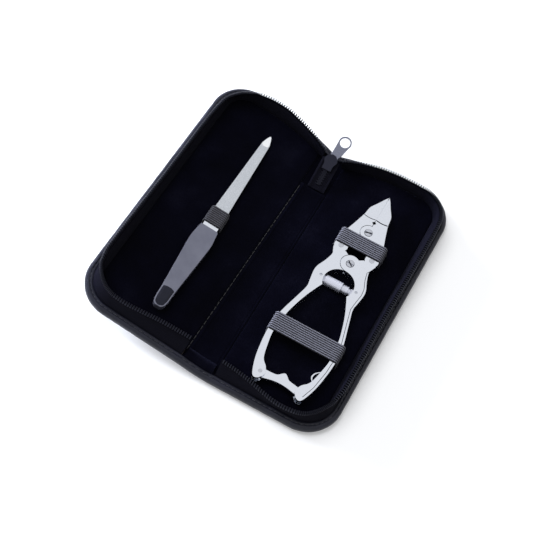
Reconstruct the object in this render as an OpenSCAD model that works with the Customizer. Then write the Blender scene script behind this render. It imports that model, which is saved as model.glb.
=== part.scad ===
// Zip-around manicure case, open, with a nail file and double action nippers.
// Frame: origin on the table under the middle of the spine, +Y along the
// spine toward the zip slider, +X to the half that lies flat, +Z up.

/* [Case] */
// Length of the case along the spine
case_len = 165; // [160:1:175]
// Distance from the middle of the spine to the outer edge of one half
half_wide = 73; // [72:0.5:78]
// Radius of the four outer corners
corner_r = 20; // [17:0.5:22]
// Gap between the two stiff halves, which the spine bridges
spine_wide = 15.5; // [15:0.5:17]
// Thickness of the case when it is closed
closed_thick = 27; // [26.5:0.5:30]
// Angle at which the open left half stands up from the table
left_tilt = 7.5; // [5:0.5:10]
// Angle by which the open left half turns away from the spine's lower end
left_splay = 1.6; // [0:0.1:2]
// Angle by which the left half's lower end is lifted
left_twist = 0.6; // [0:0.1:1]
// Distance left of the spine's middle where the left half starts to rise
left_pivot = 0.38; // [0:0.02:1]
// Amount by which the slider draws in the top edge at the spine's middle
pinch = 7.4; // [5:0.1:7.6]

/* [Layers] */
// Thickness of the leather
leather_t = 1.3; // [1:0.1:1.6]
// Thickness of the stiff board
board_t = 2.5; // [2:0.1:2.8]
// Thickness of the velvet lining
lining_t = 1.2; // [1:0.1:1.5]
// Width of the turned leather lip round the edge
lip_wide = 4; // [3.5:0.1:4.5]
// Depth of the lip's top below the velvet
lip_drop = 0.2; // [0.1:0.1:0.5]

/* [Zip] */
// Width of the sewn foot of the zip tape
foot_wide = 4; // [3.5:0.1:4.5]
// Thickness of the tape at its free edge
tape_edge = 0.9; // [0.7:0.1:1.2]
// Distance from the spine's middle to where each tape starts
zip_start = 8; // [7.8:0.1:9]
// Pitch of the zip teeth
tooth_pitch = 1.4; // [1.2:0.1:2]
// Reach of a tooth across the tape
tooth_reach = 2.1; // [1.8:0.1:2.4]
// Height of a tooth
tooth_high = 1.4; // [1:0.1:1.6]
// Gap between the two rows of teeth in the closed case
closed_gap = 0.3; // [0.2:0.1:0.5]

/* [Slider] */
// Length of the zip slider
slider_len = 9; // [8:0.5:10]
// Width of the zip slider at its shoulders
slider_wide = 7.4; // [6.5:0.1:7.6]
// Thickness of each plate of the slider
slider_plate = 1; // [0.8:0.1:1.2]
// Distance of the slider's middle in from the end of the case
slider_in = 18.5; // [17.5:0.5:19.5]
// Slope of the joined chain that climbs to the slider
chain_slope = 22; // [20:1:24]
// Distance of the chain's middle from the middle of the spine
chain_x = 0.8; // [0:0.1:1]
// Width of the joined chain's tape
chain_wide = 10; // [9:0.5:11]
// Thickness of the chain's tape
chain_t = 1.2; // [1:0.1:1.3]
// Length of the slider's pull
pull_len = 15.5; // [14:0.5:16]
// Width of the round end of the pull
pull_wide = 7.4; // [7:0.1:7.6]
// Thickness of the pull
pull_t = 1.2; // [1:0.1:1.4]
// Radius of the hole in the pull
pull_hole_r = 2.9; // [2.4:0.1:3]
// Slope at which the pull rests
pull_up = 20; // [10:1:22]
// Turn of the pull's tongue to the right
pull_yaw = 8; // [0:1:10]

/* [Elastic] */
// Thickness of the elastic bands
band_t = 0.8; // [0.7:0.1:1.2]
// Width of the band over the nippers' head
upper_band = 9.7; // [8:0.5:11]
// Width of the band over the nippers' handles
lower_band = 11; // [9:0.5:12]
// Width of the band over the file
file_band_wide = 10.7; // [9:0.5:11.5]
// Gap between a band and the top of the tool that it holds
band_gap = 0.3; // [0.2:0.1:0.5]
// Gap between a band's legs and the sides of the nippers
band_side = 0.2; // [0.2:0.1:0.5]
// Distance of the upper band beyond the handles' screw
upper_band_at = 13.8; // [13:0.1:15]
// Distance of the lower band below the handles' screw
lower_band_at = 50.7; // [49:0.1:53]

/* [Nippers] */
// Thickness of the nippers
nip_t = 6; // [5.9:0.1:6.6]
// Shift of the nippers' axis from the middle of their half
nip_shift = -1.6; // [-3:0.1:0]
// Share of the tray's spare length that lies below the nippers
nip_share = 0.21; // [0.15:0.01:0.3]
// Distance between the handles' screw and the jaws' screw
screw_gap = 22.3; // [22:0.1:22.8]
// Radius of the lap joint round the handles' screw
handle_lap = 5.2; // [4.8:0.1:5.4]
// Radius of the lap joint round the jaws' screw
jaw_lap = 4.5; // [4.2:0.1:5]
// Radius of the knuckle where a handle meets its jaw
knuckle_r = 3.8; // [3.5:0.1:3.9]
// Distance of each knuckle from the nippers' axis
knuckle_x = 9.2; // [9:0.1:9.4]
// Distance of the knuckles beyond the handles' screw
knuckle_y = 7.6; // [7.4:0.1:7.8]
// Radius of the screws' shanks
screw_r = 1.6; // [1.4:0.1:1.8]
// Radius of the screws' heads
head_r = 2.1; // [2:0.1:2.4]
// Radius of the knuckle pins
pin_r = 1.4; // [1.2:0.1:1.6]
// Radius of the round opening that holds the spring
opening_r = 8.6; // [8.4:0.1:8.8]
// Distance of that opening below the handles' screw
opening_y = 13.9; // [13.8:0.1:14.2]
// Outer radius of the spring's barrel
barrel_r = 2.9; // [2.8:0.05:2.95]
// Radius of the plunger inside the barrel
plunger_r = 2; // [1.8:0.1:2.1]
// Thickness of the catch that ties the handle ends
catch_t = 3; // [2.6:0.1:3.2]

/* [File] */
// Shift of the file's axis from the middle of its half
file_shift = 7; // [5:0.1:9]
// Lean of the file's axis
file_lean = 1.5; // [0.5:0.1:2]
// Length of the file's blade and ferrule beyond the handle
blade_len = 69.9; // [66:0.1:72]
// Thickness of the blade
blade_t = 1.2; // [1:0.1:1.4]
// Width of the blade at the ferrule
blade_wide = 8.8; // [8.2:0.1:9]
// Length of the bright ferrule
ferrule_len = 2.8; // [2.5:0.1:3.2]
// Length of the file's handle
file_handle_len = 54.8; // [52:0.1:56]
// Thickness of the file's handle
file_handle_t = 4; // [3.6:0.1:4.4]

/* [Hidden] */
$fn = 96;
// Running clearance of a shaft in its hole
run = 0.05;
// Clearance between flat faces of moving pieces
face_gap = 0.1;
half_len = case_len / 2;
spine_x = spine_wide / 2;
panel_mid = (spine_x + half_wide) / 2;
base_t = leather_t + board_t;
floor_z = base_t + lining_t;
lip_z = floor_z - lip_drop;
inner_inset = lip_wide + foot_wide;
sew_gap = 0.1;

// Free edge of the zip tape, the same height in both halves
crest_z = (closed_thick - closed_gap) / 2;
tape_top = crest_z - tooth_high;
// Distance in from the outer edge to the tape's free edge, against the share
// of the way round from the slider end: the tape leans in near the spine
RIGHT_CREST = [[0, 13.8], [0.021, 11], [0.065, 7.1], [0.115, 5.5],
    [0.2, 5.7], [0.25, 4.5], [0.3, 3.4], [0.4, 3.6], [0.5, 4.2], [0.69, 4],
    [0.72, 5.2], [0.755, 6.7], [0.79, 6.3], [0.82, 5], [0.86, 3.6],
    [0.885, 4], [0.92, 6.2], [0.957, 8.5], [1, 10]];
LEFT_CREST = [[0, 12.8], [0.0256, 9.6], [0.05, 7.2], [0.072, 5.6], [0.1, 4],
    [0.137, 4.3], [0.158, 5.6], [0.18, 7.2], [0.205, 8.1], [0.235, 8.1],
    [0.262, 7.1], [0.286, 5.4], [0.33, 4.4], [0.5, 4.1], [0.69, 3.4],
    [0.718, 4.6], [0.75, 7], [0.78, 8.1], [0.82, 8.2], [0.86, 7.5],
    [0.9, 8.7], [0.94, 10.2], [1, 11.3]];
zip_run = half_wide - corner_r - zip_start;
zip_arc = corner_r * PI / 2;
zip_side = case_len - 2 * corner_r;
zip_total = 2 * zip_run + 2 * zip_arc + zip_side;
tape_steps = 92;
tooth_core = 0.45;
pinch_reach = 40;

// Spine: flat on the table as far as its knee, then rising to the left half
spine_knee = 4.4;
spine_step = 12;
gusset_back = 3.6;
gusset_front = 2;
gusset_low = 1.4;
gusset_high = 2.8;
gusset_side = 0.8;

// Slider
slider_y = half_len - slider_in;
chain_from = half_len - 34;
slider_mid = chain_t / 2 + 0.25;
slider_z = floor_z + (slider_y - chain_from) * tan(chain_slope) + chain_t / 2;
bridge_drop = slider_mid + slider_plate + 1.3;
bar_r = 0.7;
bar_y = 3;
pull_neck = 5.4;

// Nippers
nip_foot = 84.4;
nip_tip = 49.8;
nip_spare = case_len - 2 * inner_inset - nip_foot - nip_tip;
nip_x = panel_mid + nip_shift;
nip_y = inner_inset - half_len + nip_foot + nip_share * nip_spare;
nip_z = floor_z + face_gap;
nip_mid = nip_t / 2;
opening_drop = -opening_y;
spring_pin_x = 10.4;
spring_pin_r = 0.8;
tongue_t = 1.6;
tongue_r = 1.8;
catch_x = -11.5;
catch_y = 4.6 - nip_foot;
catch_pin_r = 1;
catch_end_r = 2.4;
catch_z = nip_mid - catch_t / 2;
lap_gap = 0.3;
knuckle_gap = 0.4;
head_high = 1.1;
bevel_from = 31.5;

// Outer edge of the left jaw, from its tip to its knuckle
JAW_OUT = [[0, nip_tip], [-1.6, 47.3], [-3.2, 44], [-5.1, 40.6],
    [-6.5, 37.5], [-7.3, 31.5], [-9, 25], [-10.8, 19.1], [-12.2, 13],
    [-12.7, 10.2]];
// Outer edge of the left handle, from its knuckle to its foot
HANDLE_OUT = concat([[-12.7, 5.4], [-11.6, 2.6], [-11, 0.3], [-12.4, -5],
    [-14.4, -10], [-14.8, -14], [-14, -20], [-13.6, -24.4], [-15.6, -33]],
    lifted([[-18.4, 40], [-19.4, 30.6], [-19, 21.2], [-17.3, 10.1],
        [-14.6, 1.8], [-12.6, 0], [-10.6, 0.8]], -nip_foot));
// Inner edge of the left handle, from its foot up to the round opening
HANDLE_IN = concat(lifted([[-9.4, 2.4], [-8.8, 4.8], [-10.2, 8.2],
    [-13.4, 12], [-15.4, 20.4], [-16.4, 28.4], [-15.6, 37.8],
    [-14.5, 44.4]], -nip_foot), [[-11.4, -29.1], [-7.2, -18.8], [-4, -14]]);
jaw_half = max([for (p = JAW_OUT) -p[0]]);
handle_half = max([for (p = HANDLE_OUT) -p[0]]);
CATCH_TOP = lifted([[-9.4, 2.8], [-6, 2.9], [-3.2, 3.4], [-1.2, 5.2],
    [0.2, 6], [1.6, 5.2], [3.6, 3.5], [7.4, 2.8], [11, 2.1]], catch_y);
CATCH_END = lifted([[11.7, 1.2], [11.7, -0.8], [11, -1.7]], catch_y);
CATCH_LOW = lifted([[8.5, -1.6], [4.4, -0.8], [0.2, -0.5], [-4, -0.9],
    [-9.4, -2.3]], catch_y);
LEAF = lifted([[14, 13.2], [12.5, 14.8], [12.1, 16.6], [13, 18.8],
    [15, 20.6]], -nip_foot);

// File, in its own frame: origin where the handle starts, +Y to the tip
file_x = -panel_mid + file_shift;
file_y = -10.2;
file_mid = file_handle_t / 2;
tang_wide = 3.6;
tang_len = 10;
BLADE_SIDE = [[blade_wide / 2, ferrule_len], [4.15, 12.2], [3.3, 40],
    [2.4, 62.5], [2.1, 64.5], [1.5, 66.8], [0.7, 69]];
file_end = -file_handle_len;
FILE_SIDE = [[4.9, 0], [5.4, -1.6], [6.2, -8.4], [6.1, -14], [5.4, -24],
    [4.6, -34], [3.9, file_end + 10.8], [3.7, file_end + 4.8],
    [3.1, file_end + 2], [1.6, file_end + 0.3]];

// Point of a smooth curve between p1 and p2
function curve_point(p0, p1, p2, p3, t) = 0.5 * (2 * p1 + (p2 - p0) * t
    + (2 * p0 - 5 * p1 + 4 * p2 - p3) * t * t
    + (3 * p1 - p0 - 3 * p2 + p3) * t * t * t);

// Smooth curve through a list of points
function smooth(p, steps = 4) = concat(
    [for (i = [0 : len(p) - 2], k = [0 : steps - 1])
        curve_point(p[max(i - 1, 0)], p[i], p[i + 1],
            p[min(i + 2, len(p) - 1)], k / steps)],
    [p[len(p) - 1]]);

function lifted(p, y) = [for (q = p) [q[0], q[1] + y]];
function mirrored(p) = [for (q = p) [-q[0], q[1]]];
function backward(p) = [for (i = [len(p) - 1 : -1 : 0]) p[i]];

// Place on the outer edge of the right half, s from the slider end, as
// x, y and the outward direction
function spot(s) = s < zip_run
    ? [zip_start + s, half_len, 0, 1]
    : s < zip_run + zip_arc
    ? corner_spot(90 - (s - zip_run) / zip_arc * 90, 1)
    : s < zip_run + zip_arc + zip_side
    ? [half_wide, half_len - corner_r - (s - zip_run - zip_arc), 1, 0]
    : s < zip_total - zip_run
    ? corner_spot(-(s - zip_run - zip_arc - zip_side) / zip_arc * 90, -1)
    : [half_wide - corner_r - (s - zip_total + zip_run), -half_len, 0, -1];

function corner_spot(a, side) = [half_wide - corner_r + corner_r * cos(a),
    side * (half_len - corner_r) + corner_r * sin(a), cos(a), sin(a)];

// The same place moved in by an inset
function inset_spot(s, inset) = let (p = spot(s))
    [p[0] - inset * p[2], p[1] - inset * p[3]];

function crest_at(s, crest) = lookup(s / zip_total, crest);

// Amount by which the top edge is drawn in at x
function pinch_at(x) = pinch * pow(max(0, 1 - x / pinch_reach), 1.6);

// Place in from the outer edge, with the top edge drawn in
function foot_spot(s, inset) = let (p = inset_spot(s, inset))
    [p[0], p[1] - (s < zip_run ? pinch_at(p[0]) : 0)];

// Where a point of the left half, drawn flat, lies once that half is raised
function raised(p) = let (
        x = (p[0] + left_pivot) * cos(left_tilt) + p[2] * sin(left_tilt)
            - left_pivot,
        z = p[2] * cos(left_tilt) - (p[0] + left_pivot) * sin(left_tilt),
        y = (p[1] - half_len) * cos(left_splay) - x * sin(left_splay))
    [x * cos(left_splay) + (p[1] - half_len) * sin(left_splay),
        half_len + y * cos(left_twist) + z * sin(left_twist),
        z * cos(left_twist) - y * sin(left_twist)];

// Outline of the right half, moved in from its three outer edges
module half_shape(inset) {
    difference() {
        union() {
            translate([spine_x, inset - half_len])
                square([half_wide - corner_r - spine_x,
                    case_len - 2 * inset]);
            translate([spine_x, corner_r - half_len])
                square([half_wide - inset - spine_x,
                    case_len - 2 * corner_r]);
            for (side = [-1, 1])
                translate([half_wide - corner_r,
                    side * (half_len - corner_r)])
                    circle(corner_r - inset);
        }
        translate([0, half_len - inset]) polygon(concat(
            [[pinch_reach, 1], [spine_x - 1, 1]],
            [for (k = [-1 : 24]) let (
                    x = spine_x + (pinch_reach - spine_x) * k / 24)
                [x, -pinch_at(x)]]));
    }
}

module half_plate(inset, low, high) {
    translate([0, 0, low]) linear_extrude(high - low) half_shape(inset);
}

module half_cover() {
    half_plate(0, 0, leather_t);
    translate([0, 0, leather_t]) linear_extrude(lip_z - leather_t)
        difference() {
            half_shape(0);
            half_shape(lip_wide);
            translate([spine_x - 1, lip_wide - half_len])
                square([1.5, case_len - 2 * lip_wide - pinch_at(spine_x)]);
        }
}

// Triangles of a loft through rings of equal size
module loft(rings) {
    n = len(rings);
    m = len(rings[0]);
    points = [for (ring = rings) for (p = ring) p];
    sides = [for (i = [0 : n - 2], j = [0 : m - 1]) let (k = (j + 1) % m)
        each [[i * m + j, i * m + k, (i + 1) * m + k],
            [i * m + j, (i + 1) * m + k, (i + 1) * m + j]]];
    start = [for (j = [1 : m - 2]) [0, j + 1, j]];
    end = [for (j = [1 : m - 2]) [0, j, j + 1] + (n - 1) * m * [1, 1, 1]];
    polyhedron(points, concat(start, sides, end));
}

// Zip tape: sewn foot between lip and velvet, rising to its free edge
module half_tape(crest) {
    loft([for (i = [0 : tape_steps]) let (
            s = zip_total * i / tape_steps,
            c = crest_at(s, crest),
            out_low = foot_spot(s, lip_wide + sew_gap),
            in_low = foot_spot(s, inner_inset),
            in_high = inset_spot(s, c + tape_edge),
            out_high = inset_spot(s, c))
        [[out_low[0], out_low[1], base_t], [in_low[0], in_low[1], base_t],
            [in_low[0], in_low[1], floor_z],
            [in_high[0], in_high[1], tape_top],
            [out_high[0], out_high[1], tape_top],
            [out_low[0], out_low[1], floor_z]]]);
}

// Row of teeth along the tape's free edge
module half_teeth(crest) {
    count = floor(zip_total / tooth_pitch);
    mid = tape_edge / 2;
    outer = [for (i = [0 : 2 * count - 1]) let (s = (i + 1) * tooth_pitch / 2)
        inset_spot(s, crest_at(s, crest) + mid
            - (i % 2 == 0 ? tooth_reach / 2 : tooth_core))];
    inner = [for (i = [0 : 2 * count - 1]) let (s = (i + 1) * tooth_pitch / 2)
        inset_spot(s, crest_at(s, crest) + mid
            + (i % 2 == 0 ? tooth_reach / 2 : tooth_core))];
    translate([0, 0, tape_top]) linear_extrude(tooth_high)
        polygon(concat(outer, backward(inner)));
}

// Puts a piece drawn as the mirror of the right half on the raised left half
module on_left() {
    translate([0, half_len, 0]) rotate([-left_twist, 0, 0])
        rotate([0, 0, -left_splay]) translate([-left_pivot, -half_len, 0])
        rotate([0, left_tilt, 0]) translate([left_pivot, 0, 0]) children();
}

module right_cover() {
    color("#2a2a33") half_cover();
}

module right_board() {
    color("#5a5048") half_plate(lip_wide, leather_t, base_t);
}

module right_lining() {
    color("#14141f") half_plate(inner_inset, base_t, floor_z);
}

module right_zip_tape() {
    color("#47454f") half_tape(RIGHT_CREST);
}

module right_zip_teeth() {
    color("#b9bcc4") half_teeth(RIGHT_CREST);
}

module left_cover() {
    color("#2a2a33") on_left() mirror([1, 0, 0]) half_cover();
}

module left_board() {
    color("#5a5048") on_left() mirror([1, 0, 0])
        half_plate(lip_wide, leather_t, base_t);
}

module left_lining() {
    color("#14141f") on_left() mirror([1, 0, 0])
        half_plate(inner_inset, base_t, floor_z);
}

module left_zip_tape() {
    color("#47454f") on_left() mirror([1, 0, 0]) half_tape(LEFT_CREST);
}

module left_zip_teeth() {
    color("#b9bcc4") on_left() mirror([1, 0, 0]) half_teeth(LEFT_CREST);
}

// Cross-section of the spine at y, whose left end follows the raised half
function spine_ring(y, low, high) = [[-spine_knee, y, low],
    [spine_x, y, low], [spine_x, y, high], [-spine_knee, y, high],
    raised([sew_gap - spine_x, y, high]),
    raised([sew_gap - spine_x, y, low + sew_gap])];

module spine_box(from_y, to_y, low, high) {
    first = ceil((from_y + 0.1) / spine_step) * spine_step;
    loft([for (y = concat([from_y], [for (v = first; v < to_y - 0.1;
            v = v + spine_step) v], [to_y]))
        spine_ring(y, low, high)]);
}

module spine_cover() {
    top = half_len - pinch_at(spine_x);
    color("#2a2a33") {
        spine_box(-half_len, top, 0, leather_t);
        spine_box(-half_len, lip_wide - half_len, leather_t / 2, lip_z);
        spine_box(top - lip_wide, top, leather_t / 2, lip_z);
    }
}

module spine_strip() {
    inset = lip_wide + sew_gap;
    color("#14141f") spine_box(inset - half_len,
        half_len - pinch_at(spine_x) - inset, leather_t, floor_z);
}

// Velvet fold that joins the two tapes at the foot of the spine
module spine_gusset() {
    low_y = inner_inset - half_len;
    share = 0.9;
    profile = [[low_y + gusset_front, floor_z],
        [low_y - gusset_back, floor_z],
        [low_y - gusset_back, floor_z + gusset_low],
        [low_y - gusset_front / 2, floor_z + gusset_high]];
    left = [for (p = profile) (1 - share) * [-spine_knee, p[0], p[1]]
        + share * raised([sew_gap - spine_x, p[0], p[1] + sew_gap])];
    color("#1a1a26") loft([left,
        [for (p = profile) [-spine_knee, p[0], p[1]]],
        [for (p = profile) [spine_x - gusset_side, p[0], p[1]]]]);
}

// Joined chain on its tape, climbing from the velvet strip to the slider
module zip_end_chain() {
    end_y = slider_y + slider_len / 2 * cos(chain_slope) - 2.4;
    rise = tan(chain_slope);
    back = chain_t / sin(chain_slope);
    color("#47454f") translate([chain_x - chain_wide / 2, 0, 0])
        rotate([90, 0, 90])
        linear_extrude(chain_wide) polygon([[chain_from, floor_z],
            [chain_from + back, floor_z],
            [end_y, floor_z + (end_y - chain_from - back) * rise],
            [end_y, floor_z + (end_y - chain_from) * rise]]);
}

// Frame of the slider: origin in its middle, +Y along the chain
module on_chain() {
    translate([chain_x, slider_y, slider_z - chain_t * cos(chain_slope)])
        rotate([chain_slope, 0, 0]) children();
}

module slider_outline() {
    tail = slider_wide * 0.37;
    half = slider_wide / 2;
    polygon(smooth([[-tail, -slider_len / 2], [-tail, -1.4], [-half, 0.8],
        [-half * 0.93, 2.4], [-half * 0.55, slider_len / 2 - 0.4],
        [0, slider_len / 2 + 0.3], [half * 0.55, slider_len / 2 - 0.4],
        [half * 0.93, 2.4], [half, 0.8], [tail, -1.4],
        [tail, -slider_len / 2]], 3));
}

module zip_slider() {
    loop_wide = 2.2;
    color("#4b4a55") on_chain() difference() {
        union() {
            for (z = [slider_mid, -slider_mid - slider_plate])
                translate([0, 0, z]) linear_extrude(slider_plate)
                    slider_outline();
            translate([0, slider_len / 2 - 1.1, -slider_mid - 0.1])
                cylinder(r = 1.1, h = 2 * slider_mid + 0.2);
            translate([-loop_wide / 2, 0, -bridge_drop - bar_r - 0.8])
                cube([loop_wide, bar_y + bar_r + 0.9,
                    bridge_drop + bar_r + 0.8 - slider_mid - 0.2]);
        }
        translate([-slider_wide, bar_y, -bridge_drop]) rotate([0, 90, 0])
            cylinder(r = bar_r + run, h = 2 * slider_wide);
    }
}

// Pull: cross bar in the slider's loop, two arms, and a tongue with a hole
module zip_pull() {
    arm_in = 1.3;
    arm_wide = 1.1;
    start_y = 2.6;
    end_y = pull_len - pull_wide / 2;
    color("#9297aa") on_chain() translate([0, bar_y, -bridge_drop]) {
        translate([-arm_in - arm_wide, 0, 0]) rotate([0, 90, 0])
            cylinder(r = bar_r, h = 2 * (arm_in + arm_wide));
        rotate([pull_up - chain_slope, 0, 0])
            translate([0, 0, -pull_t / 2]) linear_extrude(pull_t) {
                for (side = [-1, 1])
                    translate([side * (arm_in + arm_wide / 2) - arm_wide / 2,
                        0]) square([arm_wide, start_y + 1]);
                rotate(-pull_yaw) difference() {
                    union() {
                        translate([0, end_y]) circle(pull_wide / 2);
                        polygon([[-arm_in - arm_wide, start_y],
                            [arm_in + arm_wide, start_y],
                            [pull_neck / 2, start_y + 1.5],
                            [pull_wide / 2 - 0.2, end_y - 1],
                            [0.2 - pull_wide / 2, end_y - 1],
                            [-pull_neck / 2, start_y + 1.5]]);
                    }
                    translate([0, end_y]) circle(pull_hole_r);
                }
            }
    }
}

// Strap over a tool, with two legs that reach the velvet
module band(inner_wide, inner_high, wide) {
    difference() {
        translate([-inner_wide / 2 - band_t, -wide / 2, 0])
            cube([inner_wide + 2 * band_t, wide, inner_high + band_t]);
        translate([-inner_wide / 2, -wide / 2 - 1, -1])
            cube([inner_wide, wide + 2, inner_high + 1]);
    }
}

module nipper_band_upper() {
    color("#7d7c8a") translate([nip_x, nip_y + upper_band_at, floor_z])
        band(2 * (jaw_half + band_side), nip_t + face_gap + band_gap,
            upper_band);
}

module nipper_band_lower() {
    color("#7d7c8a") translate([nip_x, nip_y - lower_band_at, floor_z])
        band(2 * (handle_half + band_side), nip_t + face_gap + band_gap,
            lower_band);
}

// Frame of the nippers: origin on the handles' screw at their underside
module on_nippers() {
    translate([nip_x, nip_y, nip_z]) children();
}

module disc(x, y, low, high, r) {
    translate([x, y, low]) cylinder(r = r, h = high - low);
}

module handle_shape() {
    polygon(concat(smooth(HANDLE_OUT), smooth(HANDLE_IN),
        [[-0.15, -11], [-0.15, 0], [-2.25, 3.6], [-5.2, 5.6]]));
}

// Left handle, without its part of the lap round the handles' screw
module handle_body(lap_low, lap_high) {
    catch_gap = face_gap;
    difference() {
        union() {
            linear_extrude(nip_t) handle_shape();
            disc(-knuckle_x, knuckle_y, nip_mid + face_gap / 2, nip_t,
                knuckle_r);
        }
        disc(0, 0, lap_low, lap_high, handle_lap + lap_gap);
        disc(-knuckle_x, knuckle_y, -1, nip_mid + face_gap / 2,
            knuckle_r + knuckle_gap);
        disc(-knuckle_x, knuckle_y, -1, nip_t + 1, pin_r);
        disc(0, opening_drop, -1, nip_t + 1, opening_r);
        translate([-spring_pin_x - tongue_r - 0.4, opening_drop - 2.6,
            nip_mid - tongue_t / 2 - face_gap])
            cube([8, 5.2, tongue_t + 2 * face_gap]);
        disc(-spring_pin_x, opening_drop, -1, nip_t + 1, spring_pin_r);
        translate([catch_x - catch_end_r - 0.3, catch_y - 6,
            catch_z - catch_gap])
            cube([10, 15, catch_t + 2 * catch_gap]);
    }
}

module handle_lap_disc(low, high) {
    difference() {
        disc(0, 0, low, high, handle_lap);
        disc(0, opening_drop, -1, nip_t + 1, opening_r);
    }
}

module nipper_handle_left() {
    color("#d7dbe4") on_nippers() difference() {
        union() {
            handle_body(nip_mid - face_gap / 2, nip_t + 1);
            handle_lap_disc(0, nip_mid - face_gap / 2);
        }
        disc(0, 0, -1, nip_t + 1, screw_r + run);
        disc(catch_x, catch_y, -1, nip_t + 1, catch_pin_r);
    }
}

module nipper_handle_right() {
    color("#d7dbe4") on_nippers() difference() {
        union() {
            mirror([1, 0, 0]) handle_body(-1, nip_mid + face_gap / 2);
            handle_lap_disc(nip_mid + face_gap / 2, nip_t);
        }
        disc(0, 0, -1, nip_t + 1, screw_r + run);
        disc(0, 0, nip_t - head_high - 0.1, nip_t + 1, head_r + run);
    }
}

module jaw_shape() {
    polygon(concat([[-0.15, nip_tip - 0.3]], smooth(JAW_OUT),
        [[-5.8, 10.2], [-4.6, 11], [-3.2, screw_gap - jaw_lap],
            [-0.15, screw_gap - jaw_lap]]));
}

// Left jaw, without its part of the lap round the jaws' screw
module jaw_body(lap_low, lap_high) {
    drop = 0.5;
    tip_half = 0.9;
    difference() {
        union() {
            linear_extrude(nip_t) jaw_shape();
            disc(-knuckle_x, knuckle_y, 0, nip_mid - face_gap / 2,
                knuckle_r);
        }
        disc(0, screw_gap, lap_low, lap_high, jaw_lap + lap_gap);
        disc(-knuckle_x, knuckle_y, nip_mid - face_gap / 2, nip_t + 1,
            knuckle_r + knuckle_gap);
        disc(-knuckle_x, knuckle_y, -1, nip_t + 1, pin_r + 2 * run);
        translate([0, screw_gap + 7.1, -1]) rotate(45)
            translate([-0.85, -0.85, 0]) cube([1.7, 1.7, nip_t + 2]);
        translate([-20, 0, 0]) rotate([90, 0, 90]) linear_extrude(40) {
            polygon([[bevel_from, nip_t + 1], [bevel_from, nip_t - drop],
                [nip_tip + 1, nip_mid + tip_half], [nip_tip + 1, nip_t + 1]]);
            polygon([[bevel_from, -1], [nip_tip + 1, -1],
                [nip_tip + 1, nip_mid - tip_half], [bevel_from, drop]]);
        }
    }
}

module nipper_jaw_left() {
    color("#d7dbe4") on_nippers() difference() {
        union() {
            jaw_body(nip_mid - face_gap / 2, nip_t + 1);
            disc(0, screw_gap, 0, nip_mid - face_gap / 2, jaw_lap);
        }
        disc(0, screw_gap, -1, nip_t + 1, screw_r + run);
    }
}

module nipper_jaw_right() {
    color("#d7dbe4") on_nippers() difference() {
        union() {
            mirror([1, 0, 0]) jaw_body(-1, nip_mid + face_gap / 2);
            disc(0, screw_gap, nip_mid + face_gap / 2, nip_t, jaw_lap);
        }
        disc(0, screw_gap, -1, nip_t + 1, screw_r + run);
        disc(0, screw_gap, nip_t - head_high - 0.1, nip_t + 1,
            head_r + run);
    }
}

// Slotted screw whose head sits in the upper piece
module screw() {
    slot_wide = 0.6;
    slot_deep = 0.5;
    stand = 0.2;
    difference() {
        union() {
            cylinder(r = screw_r, h = nip_t);
            translate([0, 0, nip_t - head_high])
                cylinder(r = head_r, h = head_high + stand);
        }
        translate([-head_r - 1, -slot_wide / 2, nip_t + stand - slot_deep])
            cube([2 * head_r + 2, slot_wide, slot_deep + 1]);
    }
}

module handle_screw() {
    color("#c4c8d2") on_nippers() screw();
}

module jaw_screw() {
    color("#c4c8d2") on_nippers() translate([0, screw_gap, 0]) screw();
}

module knuckle_pin_left() {
    color("#c4c8d2") on_nippers()
        disc(-knuckle_x, knuckle_y, 0.1, nip_t, pin_r);
}

module knuckle_pin_right() {
    color("#c4c8d2") on_nippers()
        disc(knuckle_x, knuckle_y, 0.1, nip_t, pin_r);
}

// Frame of the spring: origin in the middle of the opening, +X to the right
module on_spring() {
    on_nippers() translate([0, opening_drop, nip_mid]) children();
}

// Round bar along X
module bar(x0, x1, r) {
    translate([x0, 0, 0]) rotate([0, 90, 0]) cylinder(r = r, h = x1 - x0);
}

// Flat tongue from x0 to the pin at x1, with its round end and its bore
module tongue(x0, x1) {
    translate([0, 0, -tongue_t / 2]) difference() {
        union() {
            translate([min(x0, x1), -tongue_r, 0])
                cube([abs(x1 - x0), 2 * tongue_r, tongue_t]);
            translate([x1, 0, 0]) cylinder(r = tongue_r, h = tongue_t);
        }
        translate([x1, 0, -1])
            cylinder(r = spring_pin_r + run, h = tongue_t + 2);
    }
}

module spring_barrel() {
    color("#c9cdd6") on_spring() {
        difference() {
            bar(-7.4, 2.4, barrel_r);
            bar(-5.8, 3, plunger_r + run);
        }
        tongue(-7.2, -spring_pin_x);
    }
}

module spring_plunger() {
    color("#c9cdd6") on_spring() {
        bar(-3, 2.9, plunger_r);
        bar(2.8, 6, barrel_r - 0.6);
        bar(5.9, 7.4, plunger_r - 0.3);
        tongue(7.2, spring_pin_x);
    }
}

// Coiled spring between the barrel's end and the plunger
module spring_coil() {
    color("#9a9da6") on_spring() difference() {
        bar(-5.7, -3.1, plunger_r - 0.1);
        bar(-6, -3, plunger_r - 0.8);
    }
}

module spring_pin_left() {
    color("#c4c8d2") on_nippers()
        disc(-spring_pin_x, opening_drop, 0.4, nip_t - 0.4, spring_pin_r);
}

module spring_pin_right() {
    color("#c4c8d2") on_nippers()
        disc(spring_pin_x, opening_drop, 0.4, nip_t - 0.4, spring_pin_r);
}

module catch_lever() {
    round_end = [for (a = [270 : -10 : 90])
        [catch_x + catch_end_r * cos(a), catch_y + catch_end_r * sin(a)]];
    color("#dcdfe8") on_nippers() difference() {
        translate([0, 0, catch_z]) linear_extrude(catch_t)
            polygon(concat(smooth(CATCH_TOP), smooth(CATCH_END, 2),
                smooth(CATCH_LOW), round_end));
        disc(catch_x, catch_y, -1, nip_t + 1, catch_pin_r + run);
    }
}

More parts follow.
